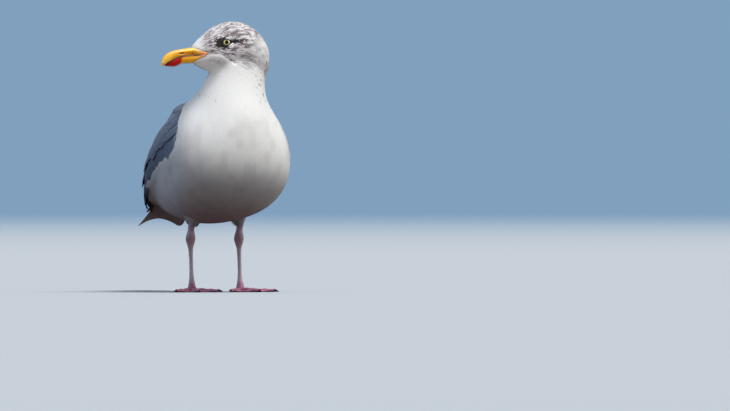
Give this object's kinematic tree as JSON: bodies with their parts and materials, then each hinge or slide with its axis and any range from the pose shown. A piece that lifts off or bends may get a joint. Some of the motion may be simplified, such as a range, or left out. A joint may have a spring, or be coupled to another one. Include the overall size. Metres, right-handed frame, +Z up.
{
  "type": "herring gull",
  "caption": "Life-size herring gull standing at rest, wings folded and head turned to its right: white head and breast, grey back, yellow bill, pink legs and webbed feet.",
  "frame": {"origin": "on the floor, under the middle of the model's box", "axes": "the bird faces -Y, +X is to its left and +Z is up"},
  "size_m": [0.1832, 0.3453, 0.3509],
  "materials": {
    "plumage_white": "soft matt white body plumage, streaked grey on the head and hind neck",
    "plumage_grey": "smooth matt blue-grey back and wing feathers with paler edges",
    "plumage_black": "dark satin flight feathers with white tips",
    "bill": "smooth satin horn, yellow with a red patch near the tip",
    "eye": "wet pale yellow iris with a black pupil",
    "leg_skin": "fine-scaled pale pink skin",
    "claw": "smooth black horn"
  },
  "bodies": {
    "root": {"trunk": "plumage_white", "neck": "plumage_white", "head": "plumage_white", "tail": "plumage_white", "bill_upper": "bill", "bill_lower": "bill", "eye_left": "eye", "wing_left": "plumage_grey", "primaries_left": "plumage_black", "thigh_left": "plumage_white", "tarsus_left": "leg_skin", "foot_left": "leg_skin", "claw_left_inner": "claw", "claw_left_middle": "claw", "claw_left_outer": "claw", "claw_left_hind": "claw", "eye_right": "eye", "wing_right": "plumage_grey", "primaries_right": "plumage_black", "thigh_right": "plumage_white", "tarsus_right": "leg_skin", "foot_right": "leg_skin", "claw_right_inner": "claw", "claw_right_middle": "claw", "claw_right_outer": "claw", "claw_right_hind": "claw"}
  },
  "joints": []
}
